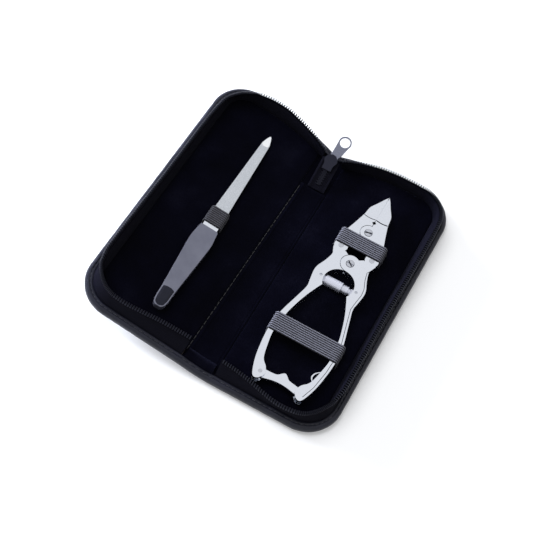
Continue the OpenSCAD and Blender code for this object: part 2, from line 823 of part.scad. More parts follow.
module catch_pin() {
    color("#c4c8d2") on_nippers()
        disc(catch_x, catch_y, 0.2, nip_t, catch_pin_r);
}

// Thin leaf on the inner side of the right handle, which eases the catch off
module catch_spring() {
    leaf_t = 0.6;
    color("#dcdfe8") on_nippers() translate([0, 0, nip_mid - 1.5])
        linear_extrude(3) difference() {
            polygon(concat(smooth(LEAF), backward(smooth(
                [for (p = LEAF) p + [leaf_t * 1.4, 0]]))));
            offset_handle_right();
        }
}

// Plan of the right handle, a hair larger, so that the leaf stays off it
module offset_handle_right() {
    for (d = [0, 0.05])
        translate([-d, 0]) mirror([1, 0]) handle_shape();
}

// Frame of the file on the left half
module on_file() {
    on_left() translate([file_x, file_y, floor_z + face_gap])
        rotate(file_lean) children();
}

// Plan of a piece that is the same on both sides of its axis
module both_sides(side) {
    polygon(concat(side, backward(mirrored(side))));
}

module file_tang(grow) {
    translate([-tang_wide / 2, -tang_len, file_mid - blade_t / 2])
        cube([tang_wide, tang_len + ferrule_len + grow, blade_t]);
}

module file_blade() {
    color("#d9dde3") on_file() {
        translate([0, 0, file_mid - blade_t / 2]) linear_extrude(blade_t)
            both_sides(concat(smooth(BLADE_SIDE), [[0.01, blade_len]]));
        file_tang(0.01);
    }
}

module file_ferrule() {
    ferrule_t = 3;
    color("#e6e8ee") on_file() difference() {
        translate([-blade_wide / 2, 0, file_mid - ferrule_t / 2])
            cube([blade_wide, ferrule_len, ferrule_t]);
        file_tang(1);
    }
}

module file_handle() {
    color("#9294a9") on_file() difference() {
        linear_extrude(file_handle_t) both_sides(smooth(FILE_SIDE));
        file_tang(1);
    }
}

module file_band() {
    band_y = 7.85;
    color("#4e4d55") on_file() translate([0, band_y, -face_gap])
        band(blade_wide + 0.6, file_mid + 1.8, file_band_wide);
}

right_cover();
right_board();
right_lining();
right_zip_tape();
right_zip_teeth();
spine_cover();
spine_strip();
spine_gusset();
zip_end_chain();
nipper_band_upper();
nipper_band_lower();
left_cover();
left_board();
left_lining();
left_zip_tape();
left_zip_teeth();
file_band();
zip_slider();
zip_pull();
handle_screw();
jaw_screw();
nipper_handle_left();
nipper_handle_right();
nipper_jaw_left();
nipper_jaw_right();
knuckle_pin_left();
knuckle_pin_right();
spring_barrel();
spring_plunger();
spring_coil();
spring_pin_left();
spring_pin_right();
catch_lever();
catch_pin();
catch_spring();
file_blade();
file_ferrule();
file_handle();
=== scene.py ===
import math

import bmesh
import bpy
from mathutils import Matrix, Vector, noise


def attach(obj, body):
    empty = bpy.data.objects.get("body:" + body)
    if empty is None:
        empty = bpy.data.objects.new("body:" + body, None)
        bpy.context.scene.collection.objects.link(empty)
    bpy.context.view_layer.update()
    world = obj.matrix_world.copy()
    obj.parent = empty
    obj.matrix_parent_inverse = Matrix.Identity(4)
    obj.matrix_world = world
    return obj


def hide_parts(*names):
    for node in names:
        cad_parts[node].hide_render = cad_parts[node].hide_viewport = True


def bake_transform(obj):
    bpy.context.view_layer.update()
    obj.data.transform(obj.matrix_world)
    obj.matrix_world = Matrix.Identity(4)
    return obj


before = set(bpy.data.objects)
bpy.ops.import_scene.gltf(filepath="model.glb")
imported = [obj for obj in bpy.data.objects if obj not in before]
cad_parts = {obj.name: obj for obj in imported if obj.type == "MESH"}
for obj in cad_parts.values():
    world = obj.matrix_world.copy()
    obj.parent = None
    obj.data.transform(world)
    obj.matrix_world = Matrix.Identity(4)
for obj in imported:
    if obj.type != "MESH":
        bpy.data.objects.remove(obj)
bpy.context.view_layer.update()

MM = 0.001

# Driving sizes of the case, in millimetres, the same as the solids have
HALF_LEN = 82.5
HALF_WIDE = 73.0
CORNER_R = 20.0
SPINE_X = 7.75
TILT = math.radians(7.5)
SPLAY = math.radians(1.6)
TWIST = math.radians(0.6)
PIVOT = 0.38
PINCH = 7.4
PINCH_REACH = 40.0
PINCH_FROM = 40.0
PINCH_FADE = 34.5
LEATHER_T = 1.3
BASE_T = 3.8
FLOOR_Z = 5.0
INNER = 8.0
TAPE_TOP = 11.95
TAPE_EDGE = 0.9
TAPE_FOOT = 4.15
TAPE_FIRST = {"right": -1.4, "left": -2.2}
TOOTH_HIGH = 1.4
TOOTH_PITCH = 1.4
TOOTH_REACH = 2.2
TOOTH_HALF_THICK = 0.36
TOOTH_SHIFT = 0.35
ZIP_START = 8.0
STRIP_END = 48.5
STRIP_SEAM_X = -5.6
STRIP_STITCH_X = -7.2
STRIP_THREAD_R = 0.2
EDGE_THREAD_R = 0.16
CHAIN_SLOPE = math.radians(22)
SLIDER_Y = 64.0
SLIDER_LEN = 9.0
CHAIN_X = 0.8
CHAIN_T = 1.2
CHAIN_HALF_WIDE = 5.0
RIGHT_CREST = [(0, 13.8), (0.021, 11), (0.065, 7.1), (0.115, 5.5),
               (0.2, 5.7), (0.25, 4.5), (0.3, 3.4), (0.4, 3.6), (0.5, 4.2), (0.69, 4),
               (0.72, 5.2), (0.755, 6.7), (0.79, 6.3), (0.82, 5), (0.86, 3.6),
               (0.885, 4), (0.92, 6.2), (0.957, 8.5), (1, 10)]
LEFT_CREST = [(0, 12.8), (0.0256, 9.6), (0.05, 7.2), (0.072, 5.6), (0.1, 4),
              (0.137, 4.3), (0.158, 5.6), (0.18, 7.2), (0.205, 8.1), (0.235, 8.1),
              (0.262, 7.1), (0.286, 5.4), (0.33, 4.4), (0.5, 4.1), (0.69, 3.4),
              (0.718, 4.6), (0.75, 7), (0.78, 8.1), (0.82, 8.2), (0.86, 7.5),
              (0.9, 8.7), (0.94, 10.2), (1, 11.3)]
NIP_X = 38.775
NIP_Y = 13.008
NIP_Z = 5.1
NIP_T = 6.0
FILE_X = -33.375
FILE_Y = -10.2
FILE_LEAN = math.radians(1.5)
UPPER_BAND_AT = 13.8
LOWER_BAND_AT = -50.7
FILE_BAND_AT = 7.85
BAND_FOOT = 4.4
BAND_UNDER = 11.3
FILE_BAND_UNDER = 8.8

# Camera
VIEW_AZ = 0.27894
VIEW_EL = math.radians(60)
VIEW_ROLL = 0.24302
VIEW_DIST = 785.17
VIEW_TARGET = Vector((-0.088, -5.940, 0.0))
FOCAL_PX = 1474.1
FRAME_PX = 533.0


# Places

def smoothstep(t):
    t = min(max(t, 0.0), 1.0)
    return t * t * (3 - 2 * t)


def pinch(x):
    """Amount by which the slider draws in the top edge at x."""
    return PINCH * max(0.0, 1 - abs(x) / PINCH_REACH) ** 1.6


def drawn_in(x, y):
    """The y of a lining point after the slider draws in the top edge."""
    return y - pinch(x) * smoothstep((y - PINCH_FROM) / PINCH_FADE)


def path_total(start):
    return 2 * (HALF_WIDE - CORNER_R - start) + math.pi * CORNER_R + 2 * (HALF_LEN - CORNER_R)


def spot(s, start=ZIP_START):
    """x, y and outward direction of the right half's outer edge, s from the slider end."""
    run = HALF_WIDE - CORNER_R - start
    arc = CORNER_R * math.pi / 2
    side = 2 * (HALF_LEN - CORNER_R)
    if s < run:
        return start + s, HALF_LEN, 0.0, 1.0
    if s < run + arc:
        a = math.pi / 2 - (s - run) / CORNER_R
        return (HALF_WIDE - CORNER_R + CORNER_R * math.cos(a),
                HALF_LEN - CORNER_R + CORNER_R * math.sin(a), math.cos(a), math.sin(a))
    if s < run + arc + side:
        return HALF_WIDE, HALF_LEN - CORNER_R - (s - run - arc), 1.0, 0.0
    if s < run + 2 * arc + side:
        a = -(s - run - arc - side) / CORNER_R
        return (HALF_WIDE - CORNER_R + CORNER_R * math.cos(a),
                CORNER_R - HALF_LEN + CORNER_R * math.sin(a), math.cos(a), math.sin(a))
    return HALF_WIDE - CORNER_R - (s - run - 2 * arc - side), -HALF_LEN, 0.0, -1.0


def edge_point(s, inset, z, start=ZIP_START):
    x, y, nx, ny = spot(s, start)
    return Vector((x - inset * nx, y - inset * ny, z))


def crest(s, table):
    """Inset of the tape's free edge, a smooth curve through the table."""
    u = s / path_total(ZIP_START)
    k = max(i for i in range(len(table) - 1) if table[i][0] <= max(u, 0))
    (x1, y1), (x2, y2) = table[k], table[k + 1]
    x0, y0 = table[max(k - 1, 0)]
    x3, y3 = table[min(k + 2, len(table) - 1)]
    m1 = (y2 - y0) / (x2 - x0)
    m2 = (y3 - y1) / (x3 - x1)
    h = x2 - x1
    t = min(max((u - x1) / h, 0.0), 1.0)
    return ((2 * t ** 3 - 3 * t ** 2 + 1) * y1 + (t ** 3 - 2 * t ** 2 + t) * h * m1
            + (3 * t ** 2 - 2 * t ** 3) * y2 + (t ** 3 - t ** 2) * h * m2 + 0.45 * max(0.0, -s))


def left_frame():
    """Takes a point drawn on the flat left half to the raised one."""
    return (Matrix.Translation((0, HALF_LEN, 0)) @ Matrix.Rotation(-TWIST, 4, "X")
            @ Matrix.Rotation(-SPLAY, 4, "Z") @ Matrix.Translation((-PIVOT, -HALF_LEN, 0))
            @ Matrix.Rotation(TILT, 4, "Y") @ Matrix.Translation((PIVOT, 0, 0)))


def left_matrix():
    """Takes a point drawn for the right half to its mirrored place on the raised left half."""
    return left_frame() @ Matrix.Scale(-1, 4, (1, 0, 0))


SIDES = {
    "right": (Matrix.Identity(4), RIGHT_CREST, "root"),
    "left": (left_matrix(), LEFT_CREST, "left_half"),
}


# Meshes

def build(name, points, faces, matrix=None, uvs=None, smooth=True):
    """Object from points in millimetres; uvs is one pair for each point."""
    mesh = bpy.data.meshes.new(name)
    place = matrix or Matrix.Identity(4)
    mesh.from_pydata([(place @ Vector(p)) * MM for p in points], [], faces)
    if place.determinant() < 0:
        mesh.flip_normals()
    if uvs:
        layer = mesh.uv_layers.new(name="UVMap")
        for loop in mesh.loops:
            layer.data[loop.index].uv = uvs[loop.vertex_index]
    mesh.polygons.foreach_set("use_smooth", [smooth] * len(mesh.polygons))
    mesh.validate()
    mesh.update()
    obj = bpy.data.objects.new(name, mesh)
    bpy.context.scene.collection.objects.link(obj)
    return obj


def dress(obj, body, material, replaces=()):
    obj.data.materials.clear()
    obj.data.materials.append(material)
    if replaces:
        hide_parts(*replaces)
    if body:
        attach(obj, body)
    return obj


def outward(obj):
    """Turns every face of a closed mesh outward."""
    bm = bmesh.new()
    bm.from_mesh(obj.data)
    bmesh.ops.recalc_face_normals(bm, faces=bm.faces)
    bm.to_mesh(obj.data)
    bm.free()
    return obj


def sharp_edges(obj, degrees):
    """Smooth shading that keeps the edges sharper than an angle."""
    limit = math.radians(degrees)
    bm = bmesh.new()
    bm.from_mesh(obj.data)
    for edge in bm.edges:
        edge.smooth = len(edge.link_faces) != 2 or edge.calc_face_angle(0) < limit
    bm.to_mesh(obj.data)
    bm.free()
    return obj


def tube(rows, closed):
    """Points and faces over equal rows; closed rows are loops, and get an end cap each."""
    n = len(rows)
    m = len(rows[0])
    points = [p for row in rows for p in row]
    faces = []
    for i in range(n - 1):
        for j in range(m if closed else m - 1):
            k = (j + 1) % m
            a = i * m
            faces.append((a + j, a + k, a + m + k, a + m + j))
    if closed:
        faces.append(tuple(reversed(range(m))))
        faces.append(tuple((n - 1) * m + j for j in range(m)))
    return points, faces


def sweep(name, section, steps, matrix):
    """Closed section (inset, z) carried round the edge; section(s) gives its points."""
    rows = []
    uvs = []
    for s in steps:
        ring = section(s)
        rows.append([edge_point(s, i, z) for i, z in ring])
        run = 0.0
        for j, (i, z) in enumerate(ring):
            if j:
                run += math.dist((i, z), ring[j - 1])
            uvs.append((s, run))
    points, faces = tube(rows, True)
    return outward(build(name, points, faces, matrix, uvs))


def steps_between(a, b, size):
    n = max(1, math.ceil((b - a) / size))
    return [a + (b - a) * i / n for i in range(n + 1)]


def bumps(point, size, depth):
    return depth * noise.noise(Vector(point) / size)


def joined(name, parts, matrix=None):
    """One object from several (points, faces) lists."""
    points = []
    faces = []
    for p, f in parts:
        at = len(points)
        points += p
        faces += [tuple(v + at for v in face) for face in f]
    return build(name, points, faces, matrix)


def stitch(a, b, r):
    """Short thread from a to b that bows upward and dives in at both ends."""
    a, b, up = Vector(a), Vector(b), Vector((0, 0, 1))
    arch = 0.1
    along = (b - a).normalized()
    side = along.cross(up)
    rows = []
    for t, wide in ((0, 0.35), (0.15, 0.9), (0.5, 1.0), (0.85, 0.9), (1, 0.35)):
        mid = a.lerp(b, t) + up * (arch * math.sin(math.pi * t) - (r if t in (0, 1) else 0))
        rows.append([mid + (side * math.cos(w) + up * math.sin(w)) * r * wide
                     for w in (k * math.pi / 3 for k in range(6))])
    return tube(rows, True)


# Materials

class Shade:
    """A node material: the shader's plain values, and helpers that add nodes to it."""

    def __init__(self, name, color, rough, metal=0.0, **plain):
        self.mat = bpy.data.materials.new(name)
        self.mat.use_nodes = True
        self.tree = self.mat.node_tree
        self.shader = self.tree.nodes["Principled BSDF"]
        self.shader.inputs["Base Color"].default_value = (*color, 1)
        self.shader.inputs["Roughness"].default_value = rough
        self.shader.inputs["Metallic"].default_value = metal
        for key, value in plain.items():
            self.shader.inputs[key.replace("_", " ")].default_value = value
        self.normal = None

    def node(self, kind, **settings):
        made = self.tree.nodes.new(kind)
        for key, value in settings.items():
            if key in made.bl_rna.properties:
                setattr(made, key, value)
            else:
                made.inputs[key].default_value = value
        return made

    def link(self, a, b):
        self.tree.links.new(a, b)

    def coords(self, kind="Object", scale=(1, 1, 1)):
        source = self.node("ShaderNodeTexCoord")
        place = self.node("ShaderNodeMapping")
        place.inputs["Scale"].default_value = scale
        self.link(source.outputs[kind], place.inputs["Vector"])
        return place.outputs["Vector"]

    def noise(self, scale, detail=3, rough=0.6, coords=None):
        made = self.node("ShaderNodeTexNoise", Scale=scale, Detail=detail, Roughness=rough)
        self.link(coords or self.coords(), made.inputs["Vector"])
        return made.outputs["Fac"]

    def cells(self, scale, feature="F1", coords=None):
        made = self.node("ShaderNodeTexVoronoi", feature=feature, Scale=scale)
        self.link(coords or self.coords(), made.inputs["Vector"])
        return made.outputs["Distance"]

    def wave(self, scale, direction, distortion, coords):
        made = self.node("ShaderNodeTexWave", wave_type="BANDS", bands_direction=direction,
                         wave_profile="SIN", Scale=scale, Distortion=distortion)
        self.link(coords, made.inputs["Vector"])
        return made.outputs["Fac"]

    def ramp(self, value, stops):
        made = self.node("ShaderNodeValToRGB")
        line = made.color_ramp
        while len(line.elements) < len(stops):
            line.elements.new(0.5)
        for element, (at, color) in zip(line.elements, stops):
            element.position = at
            element.color = (*color, 1)
        self.link(value, made.inputs["Fac"])
        return made.outputs["Color"]

    def math(self, kind, a, b):
        made = self.node("ShaderNodeMath", operation=kind)
        for slot, value in zip(made.inputs, (a, b)):
            if isinstance(value, (int, float)):
                slot.default_value = value
            else:
                self.link(value, slot)
        return made.outputs["Value"]

    def color(self, output):
        self.link(output, self.shader.inputs["Base Color"])

    def gloss(self, value, low, high):
        made = self.node("ShaderNodeMapRange")
        made.inputs["To Min"].default_value = low
        made.inputs["To Max"].default_value = high
        self.link(value, made.inputs["Value"])
        self.link(made.outputs["Result"], self.shader.inputs["Roughness"])

    def bump(self, height, depth_mm, strength=1.0):
        """Adds a bump of a given depth on top of the earlier ones."""
        made = self.node("ShaderNodeBump", Strength=strength, Distance=depth_mm * MM)
        self.link(height, made.inputs["Height"])
        if self.normal:
            self.link(self.normal, made.inputs["Normal"])
        self.normal = made.outputs["Normal"]
        self.link(self.normal, self.shader.inputs["Normal"])


def leather_material():
    m = Shade("leather", (0.010, 0.011, 0.018), 0.45, Specular_IOR_Level=0.34)
    grain = m.cells(1050, "DISTANCE_TO_EDGE")
    pores = m.noise(2600, 2)
    creases = m.noise(160, 4, 0.65)
    m.color(m.ramp(m.noise(90, 4), [(0.3, (0.004, 0.005, 0.011)), (0.7, (0.011, 0.012, 0.024))]))
    m.gloss(creases, 0.36, 0.56)
    m.bump(creases, 0.5, 0.9)
    m.bump(grain, 0.22, 0.8)
    m.bump(pores, 0.05, 0.5)
    return m.mat


def velvet_material():
    m = Shade("velvet", (0.005, 0.005, 0.009), 0.95, Sheen_Weight=0.05, Sheen_Roughness=0.35,
              Specular_IOR_Level=0.06)
    m.shader.inputs["Sheen Tint"].default_value = (0.45, 0.5, 1.0, 1)
    patch = m.noise(45, 3, 0.55)
    speck = m.noise(1500, 2, 0.8)
    mixed = m.math("ADD", m.math("MULTIPLY", patch, 0.6), m.math("MULTIPLY", speck, 0.4))
    m.color(m.ramp(mixed, [
        (0.38, (0.0004, 0.0004, 0.0018)),
        (0.55, (0.0012, 0.0012, 0.0042)),
        (0.70, (0.0036, 0.0037, 0.0090))]))
    m.bump(patch, 0.6, 0.35)
    m.bump(speck, 0.18, 0.5)
    return m.mat


def tape_material():
    m = Shade("zip_tape", (0.006, 0.006, 0.010), 0.85, Specular_IOR_Level=0.08)
    uv = m.coords("UV")
    ribs = m.wave(0.55, "X", 0.0, uv)
    rows = m.wave(0.42, "Y", 0.6, uv)
    weave = m.math("MULTIPLY", ribs, rows)
    m.color(m.ramp(weave, [(0.1, (0.002, 0.002, 0.005)), (0.8, (0.010, 0.010, 0.016))]))
    m.bump(weave, 0.14, 0.8)
    m.bump(m.noise(2200, 2), 0.05, 0.5)
    return m.mat


def elastic_material(name, dark, light):
    m = Shade(name, light, 0.8, Sheen_Weight=0.1, Specular_IOR_Level=0.3)
    uv = m.coords("UV")
    across = m.wave(0.8, "X", 0.3, uv)
    rib = m.wave(math.pi / 10, "Y", 0.0, uv)
    fuzz = m.noise(1800, 3, 0.7)
    yarn = m.math("ADD", m.math("MULTIPLY", across, 0.14), m.math("MULTIPLY", fuzz, 0.3))
    mixed = m.math("ADD", m.math("MULTIPLY", rib, 0.56), yarn)
    # Painted shade: the ramp's dark end falls in the grooves between the ribs, the light end is the yarn on
    # the ribs
    m.color(m.ramp(mixed, [(0.34, dark), (0.72, light)]))
    m.bump(across, 0.07, 0.6)
    m.bump(rib, 0.16, 0.7)
    m.bump(fuzz, 0.06, 0.5)
    return m.mat


def steel_material(name, color, low, high, scratch=(1, 1, 1), depth=0.004, metal=1.0):
    m = Shade(name, color, (low + high) / 2, metal)
    lines = m.noise(900, 4, 0.7, m.coords("Object", scratch))
    smudge = m.noise(70, 3)
    m.gloss(m.math("ADD", m.math("MULTIPLY", lines, 0.5), m.math("MULTIPLY", smudge, 0.5)), low, high)
    m.bump(lines, depth, 0.4)
    return m.mat


def abrasive_material():
    m = Shade("blade_steel", (0.60, 0.63, 0.68), 0.5, 1.0)
    grit = m.noise(3600, 2, 0.9)
    pits = m.cells(2400)
    m.color(m.ramp(grit, [(0.35, (0.44, 0.47, 0.52)), (0.65, (0.72, 0.75, 0.80))]))
    m.gloss(pits, 0.38, 0.6)
    m.bump(grit, 0.05, 0.8)
    m.bump(pits, 0.04, 0.6)
    return m.mat


def gloss_material(name, color, edge, specular, coat):
    m = Shade(name, color, 0.22, 0.0, Coat_Weight=coat, Coat_Roughness=0.1, Specular_IOR_Level=specular)
    cloud = m.noise(60, 3)
    m.color(m.ramp(cloud, [(0.35, color), (0.7, edge)]))
    m.gloss(m.noise(500, 3), 0.18, 0.3)
    m.bump(m.noise(220, 3), 0.02, 0.3)
    return m.mat


def board_material():
    m = Shade("board", (0.10, 0.08, 0.065), 0.9)
    fibres = m.noise(700, 4, 0.7, m.coords("Object", (1, 6, 1)))
    m.color(m.ramp(fibres, [(0.3, (0.07, 0.055, 0.045)), (0.7, (0.14, 0.115, 0.09))]))
    m.bump(fibres, 0.06, 0.5)
    return m.mat


def thread_material(name, level):
    m = Shade(name, (0.045, 0.045, 0.058), 0.6, Sheen_Weight=0.1)
    twist = m.noise(3500, 2)
    m.color(m.ramp(twist, [(0.3, (0.025 * level, 0.025 * level, 0.033 * level)),
                           (0.7, (0.075 * level, 0.075 * level, 0.092 * level))]))
    m.bump(twist, 0.05, 0.6)
    return m.mat


LEATHER = leather_material()
VELVET = velvet_material()
TAPE = tape_material()
# The first colour of each elastic is the painted shade in the grooves between its ribs
ELASTIC = elastic_material("elastic", (0.003, 0.003, 0.006), (0.150, 0.154, 0.195))
FILE_ELASTIC = elastic_material("file_elastic", (0.010, 0.010, 0.014), (0.060, 0.060, 0.074))
THREAD = thread_material("thread", 0.7)
SEAM_THREAD = thread_material("seam_thread", 0.16)
BOARD = board_material()
TEETH = steel_material("zip_metal", (0.035, 0.037, 0.052), 0.24, 0.42)
SLIDER_METAL = steel_material("slider_metal", (0.026, 0.027, 0.040), 0.24, 0.40)
# Dark steel for lines of painted shade on the nippers: the head step's shadow, the screw gaps and slots, the
# right handle's shaded side
SHADE_LINE_STEEL = steel_material("painted_shade_line", (0.018, 0.019, 0.026), 0.4, 0.6)
PULL_METAL = steel_material("pull_metal", (0.19, 0.20, 0.26), 0.18, 0.34, (1, 8, 1))
CHROME = steel_material("nipper_steel", (0.68, 0.71, 0.78), 0.12, 0.27, (6, 1, 1), 0.003)
SCREW_STEEL = steel_material("screw_steel", (0.50, 0.52, 0.58), 0.20, 0.38, (1, 9, 1), 0.006)
SLEEVE = steel_material("sleeve_steel", (0.60, 0.62, 0.72), 0.2, 0.32, (1, 9, 1), 0.006, 0.7)
BLADE = abrasive_material()
TIP_STEEL = steel_material("tip_steel", (0.86, 0.88, 0.91), 0.14, 0.26)
HANDLE_GLOSS = gloss_material("handle_gloss", (0.10, 0.105, 0.145), (0.135, 0.14, 0.185), 0.4, 0.25)
HANDLE_DARK = gloss_material("handle_dark", (0.006, 0.007, 0.014), (0.012, 0.013, 0.022), 0.15, 0.0)


# Leather covers

def cover_section(s):
    """Section from the underside, round the outer edge, to the lip's inner end, and back inside."""
    puff = 0.12 * math.sin(s * 0.37) * math.sin(s * 0.083)
    return [(14, 0), (9, 0), (4.2, 0), (2.2, 0.02), (1.1, 0.22), (0.45, 0.7), (0.1, 1.5),
            (0.0, 2.4), (0.05, 3.3), (0.35, 4.05), (0.85, 4.55), (1.5, 4.85 + puff),
            (2.05, 4.9 + puff), (2.4, 4.78), (2.6, 4.45), (2.8, 4.76), (3.1, 4.88 + puff),
            (3.6, 4.86), (4.0, 4.7), (4.05, 4.2),
            (4.05, BASE_T - 0.05), (2.4, BASE_T - 0.3), (1.4, 2.9), (1.3, LEATHER_T),
            (4.2, LEATHER_T), (14, LEATHER_T)]


def leather_cover(side):
    matrix, _, body = SIDES[side]
    total = path_total(SPINE_X)
    steps = steps_between(0, total, 1.3)
    rows = []
    uvs = []
    for s in steps:
        ring = cover_section(s)
        row = []
        for j, (inset, z) in enumerate(ring):
            p = edge_point(s, inset + pinch(SPINE_X + s), z, SPINE_X)
            outer = 4 <= j <= 13
            fade = smoothstep(s / 6) * smoothstep((total - s) / 6)
            if outer:
                _, _, nx, ny = spot(s, SPINE_X)
                push = bumps(p, 5.5, 0.16) + bumps(p, 1.9, 0.07)
                p += Vector((-nx * abs(push), -ny * abs(push), 0.3 * push)) * fade
            row.append(p)
            uvs.append((s, inset + z))
        rows.append(row)
    points, faces = tube(rows, False)
    m = len(rows[0])
    n = len(rows)
    first = [i * m for i in range(n)]
    last = [i * m + m - 1 for i in range(n)]
    faces.append(tuple(first))
    faces.append(tuple(reversed(last)))
    faces.append(tuple(reversed(range(m))))
    faces.append(tuple((n - 1) * m + j for j in range(m)))
    faces.append((first[0], first[-1], last[-1], last[0]))
    cover = outward(build(side + "_leather", points, faces, matrix, uvs))
    sharp_edges(cover, 60)
    dress(cover, body, LEATHER, [side + "_cover"])
    threads = []
    for s in steps_between(1.5, total - 3.5, 3.1)[:-1]:
        a, b = (edge_point(v, 2.6 + pinch(SPINE_X + v), 4.62, SPINE_X) for v in (s, s + 2.2))
        threads.append(stitch(a, b, EDGE_THREAD_R))
    seam = outward(joined(side + "_edge_stitches", threads, matrix))
    dress(seam, body, THREAD)


# Velvet linings

def lining_inset(x, y):
    """Distance in from the lining's outer edges."""
    wide = HALF_WIDE - INNER
    high = HALF_LEN - INNER
    r = CORNER_R - INNER
    cx, cy = wide - r, high - r
    dx, dy = x - cx, abs(y) - cy
    if dx > 0 and dy > 0:
        return r - math.hypot(dx, dy)
    return min(wide - x, high - abs(y))


def velvet_lining(side):
    matrix, _, body = SIDES[side]
    high = HALF_LEN - INNER
    r = CORNER_R - INNER
    wide = HALF_WIDE - INNER
    ys = []
    for t in steps_between(0, 1, 0.08):
        ys.append(high - r * (1 - math.cos(t * math.pi / 2)) if t < 1 else high - r)
    ys = [high, high - 0.06, high - 0.2] + [v for v in ys if v < high - 0.3]
    middle = steps_between(-(high - r), high - r, 3.0)[1:-1]
    rows_y = ys + list(reversed(middle)) + [-v for v in reversed(ys)]
    columns = [0, 0.004, 0.01, 0.02] + steps_between(0.04, 0.96, 0.035) + [0.98, 0.99, 0.996, 1]
    rows = []
    for y in rows_y:
        over = abs(y) - (high - r)
        reach = wide - r + (math.sqrt(max(r * r - over * over, 0)) if over > 0 else r)
        row = []
        for u in columns:
            x = SPINE_X + (reach - SPINE_X) * u
            d = min(lining_inset(x, y), x - SPINE_X)
            round_off = math.sqrt(max(0.0, 1 - (1 - min(max(d, 0) / 0.9, 1)) ** 2))
            z = 4.45 + 0.55 * round_off + 0.04 * noise.noise(Vector((x, y, 3)) / 9) * round_off
            row.append(Vector((x, drawn_in(x, y), z)))
        rows.append(row)
    points, faces = tube(rows, False)
    obj = build(side + "_velvet", points, faces, matrix)
    bm = bmesh.new()
    bm.from_mesh(obj.data)
    rim = [e for e in bm.edges if e.is_boundary]
    made = bmesh.ops.extrude_edge_only(bm, edges=rim)["geom"]
    down = (matrix.to_3x3() @ Vector((0, 0, -1))) * 0.55 * MM
    bmesh.ops.translate(bm, vec=down, verts=[g for g in made if isinstance(g, bmesh.types.BMVert)])
    bmesh.ops.holes_fill(bm, edges=[e for e in bm.edges if e.is_boundary], sides=0)
    bmesh.ops.recalc_face_normals(bm, faces=bm.faces)
    bm.to_mesh(obj.data)
    bm.free()
    obj.data.polygons.foreach_set("use_smooth", [True] * len(obj.data.polygons))
    dress(obj, body, VELVET, [side + "_lining"])


# Zip

def tape_section(s, table):
    c = crest(s, table)
    out_foot = TAPE_FOOT + pinch(ZIP_START + s)
    in_foot = 7.95 + pinch(ZIP_START + s)
    ring = []
    for t in (0, 0.12, 0.3, 0.5, 0.7, 0.85, 1):
        lean = smoothstep(t) * 0.6 + t * 0.4
        ring.append((out_foot + (c - out_foot) * lean, 4.85 + (TAPE_TOP - 0.35 - 4.85) * t))
    ring += [(c + 0.08, TAPE_TOP - 0.08), (c + 0.45, TAPE_TOP + 0.04), (c + 0.82, TAPE_TOP - 0.08)]
    for t in (1, 0.85, 0.7, 0.5, 0.3, 0.12, 0):
        lean = t * t * 0.55 + t * 0.45
        ring.append((in_foot + (c + TAPE_EDGE - in_foot) * lean, 4.9 + (TAPE_TOP - 0.35 - 4.9) * t))
    ring += [(in_foot, BASE_T + 0.05), (out_foot, BASE_T + 0.05)]
    return ring


def tooth(s, table):
    """One tooth: a clamp on the tape's edge with a narrower head above it."""
    mid = crest(s, table) + TAPE_EDGE / 2 - TOOTH_SHIFT
    slope = crest(s + 0.4, table) - crest(s - 0.4, table)
    parts = []
    half = TOOTH_REACH / 2
    for z, wide, thick in ((-0.75, 0.7, 0.8), (-0.5, 0.9, 1.0), (0.1, 1.0, 1.0), (0.7, 0.95, 1.0),
                           (1.0, 0.8, 0.9), (1.2, 0.55, 0.7), (1.33, 0.45, 0.6), (TOOTH_HIGH, 0.3, 0.4)):
        ring = []
        a, w = TOOTH_HALF_THICK * thick, half * wide
        for du, dw in ((-a, -0.72 * w), (-0.6 * a, -w), (0.6 * a, -w), (a, -0.72 * w),
                       (a, 0.72 * w), (0.6 * a, w), (-0.6 * a, w), (-a, 0.72 * w)):
            ring.append(edge_point(s + du, mid + dw + slope * du / 0.8, TAPE_TOP + z))
        parts.append(ring)
    return tube(parts, True)


def zip_half(side):
    matrix, table, body = SIDES[side]
    total = path_total(ZIP_START)
    first = TAPE_FIRST[side]
    tape = sweep(side + "_tape", lambda s: tape_section(s, table),
                 steps_between(first, total, 1.2), matrix)
    sharp_edges(tape, 70)
    dress(tape, body, TAPE, [side + "_zip_tape"])
    count = int((total - first) / TOOTH_PITCH)
    row = [tooth(first + (i + 0.5) * TOOTH_PITCH, table) for i in range(count)]
    teeth = outward(joined(side + "_teeth", row, matrix))
    sharp_edges(teeth, 50)
    dress(teeth, body, TEETH, [side + "_zip_teeth"])


# Spine

def spine_point(x, y, z):
    """A point of the flat spine, moved to where the raised left half bends it."""
    flat = Vector((x, y, z))
    return flat.lerp(left_frame() @ flat, smoothstep((SPINE_X - x) / (2 * SPINE_X)))


def spine_blend(obj, material, replaces=()):
    dress(obj, None, material, replaces)
    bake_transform(obj)


def spine_leather():
    xs = steps_between(-SPINE_X, SPINE_X, 0.65)
    ring = cover_section(0)
    rows = []
    for x in xs:
        row = [spine_point(x, HALF_LEN - pinch(x) - i, z) for i, z in ring]
        back = [spine_point(x, i - HALF_LEN, z) for i, z in reversed(ring)]
        rows.append(row + back)
    points, faces = tube(rows, True)
    cover = sharp_edges(outward(build("spine_leather", points, faces)), 60)
    spine_blend(cover, LEATHER, ["spine_cover"])
    threads = []
    for x in (-6.6, -3.5, -0.4, 2.7, 5.6):
        ends = (x, x + 2.0)
        for a, b in ([spine_point(v, HALF_LEN - pinch(v) - 2.6, 4.62) for v in ends],
                     [spine_point(v, 2.6 - HALF_LEN, 4.62) for v in ends]):
            threads.append(stitch(a, b, EDGE_THREAD_R))
    spine_blend(outward(joined("spine_edge_stitches", threads)), THREAD)


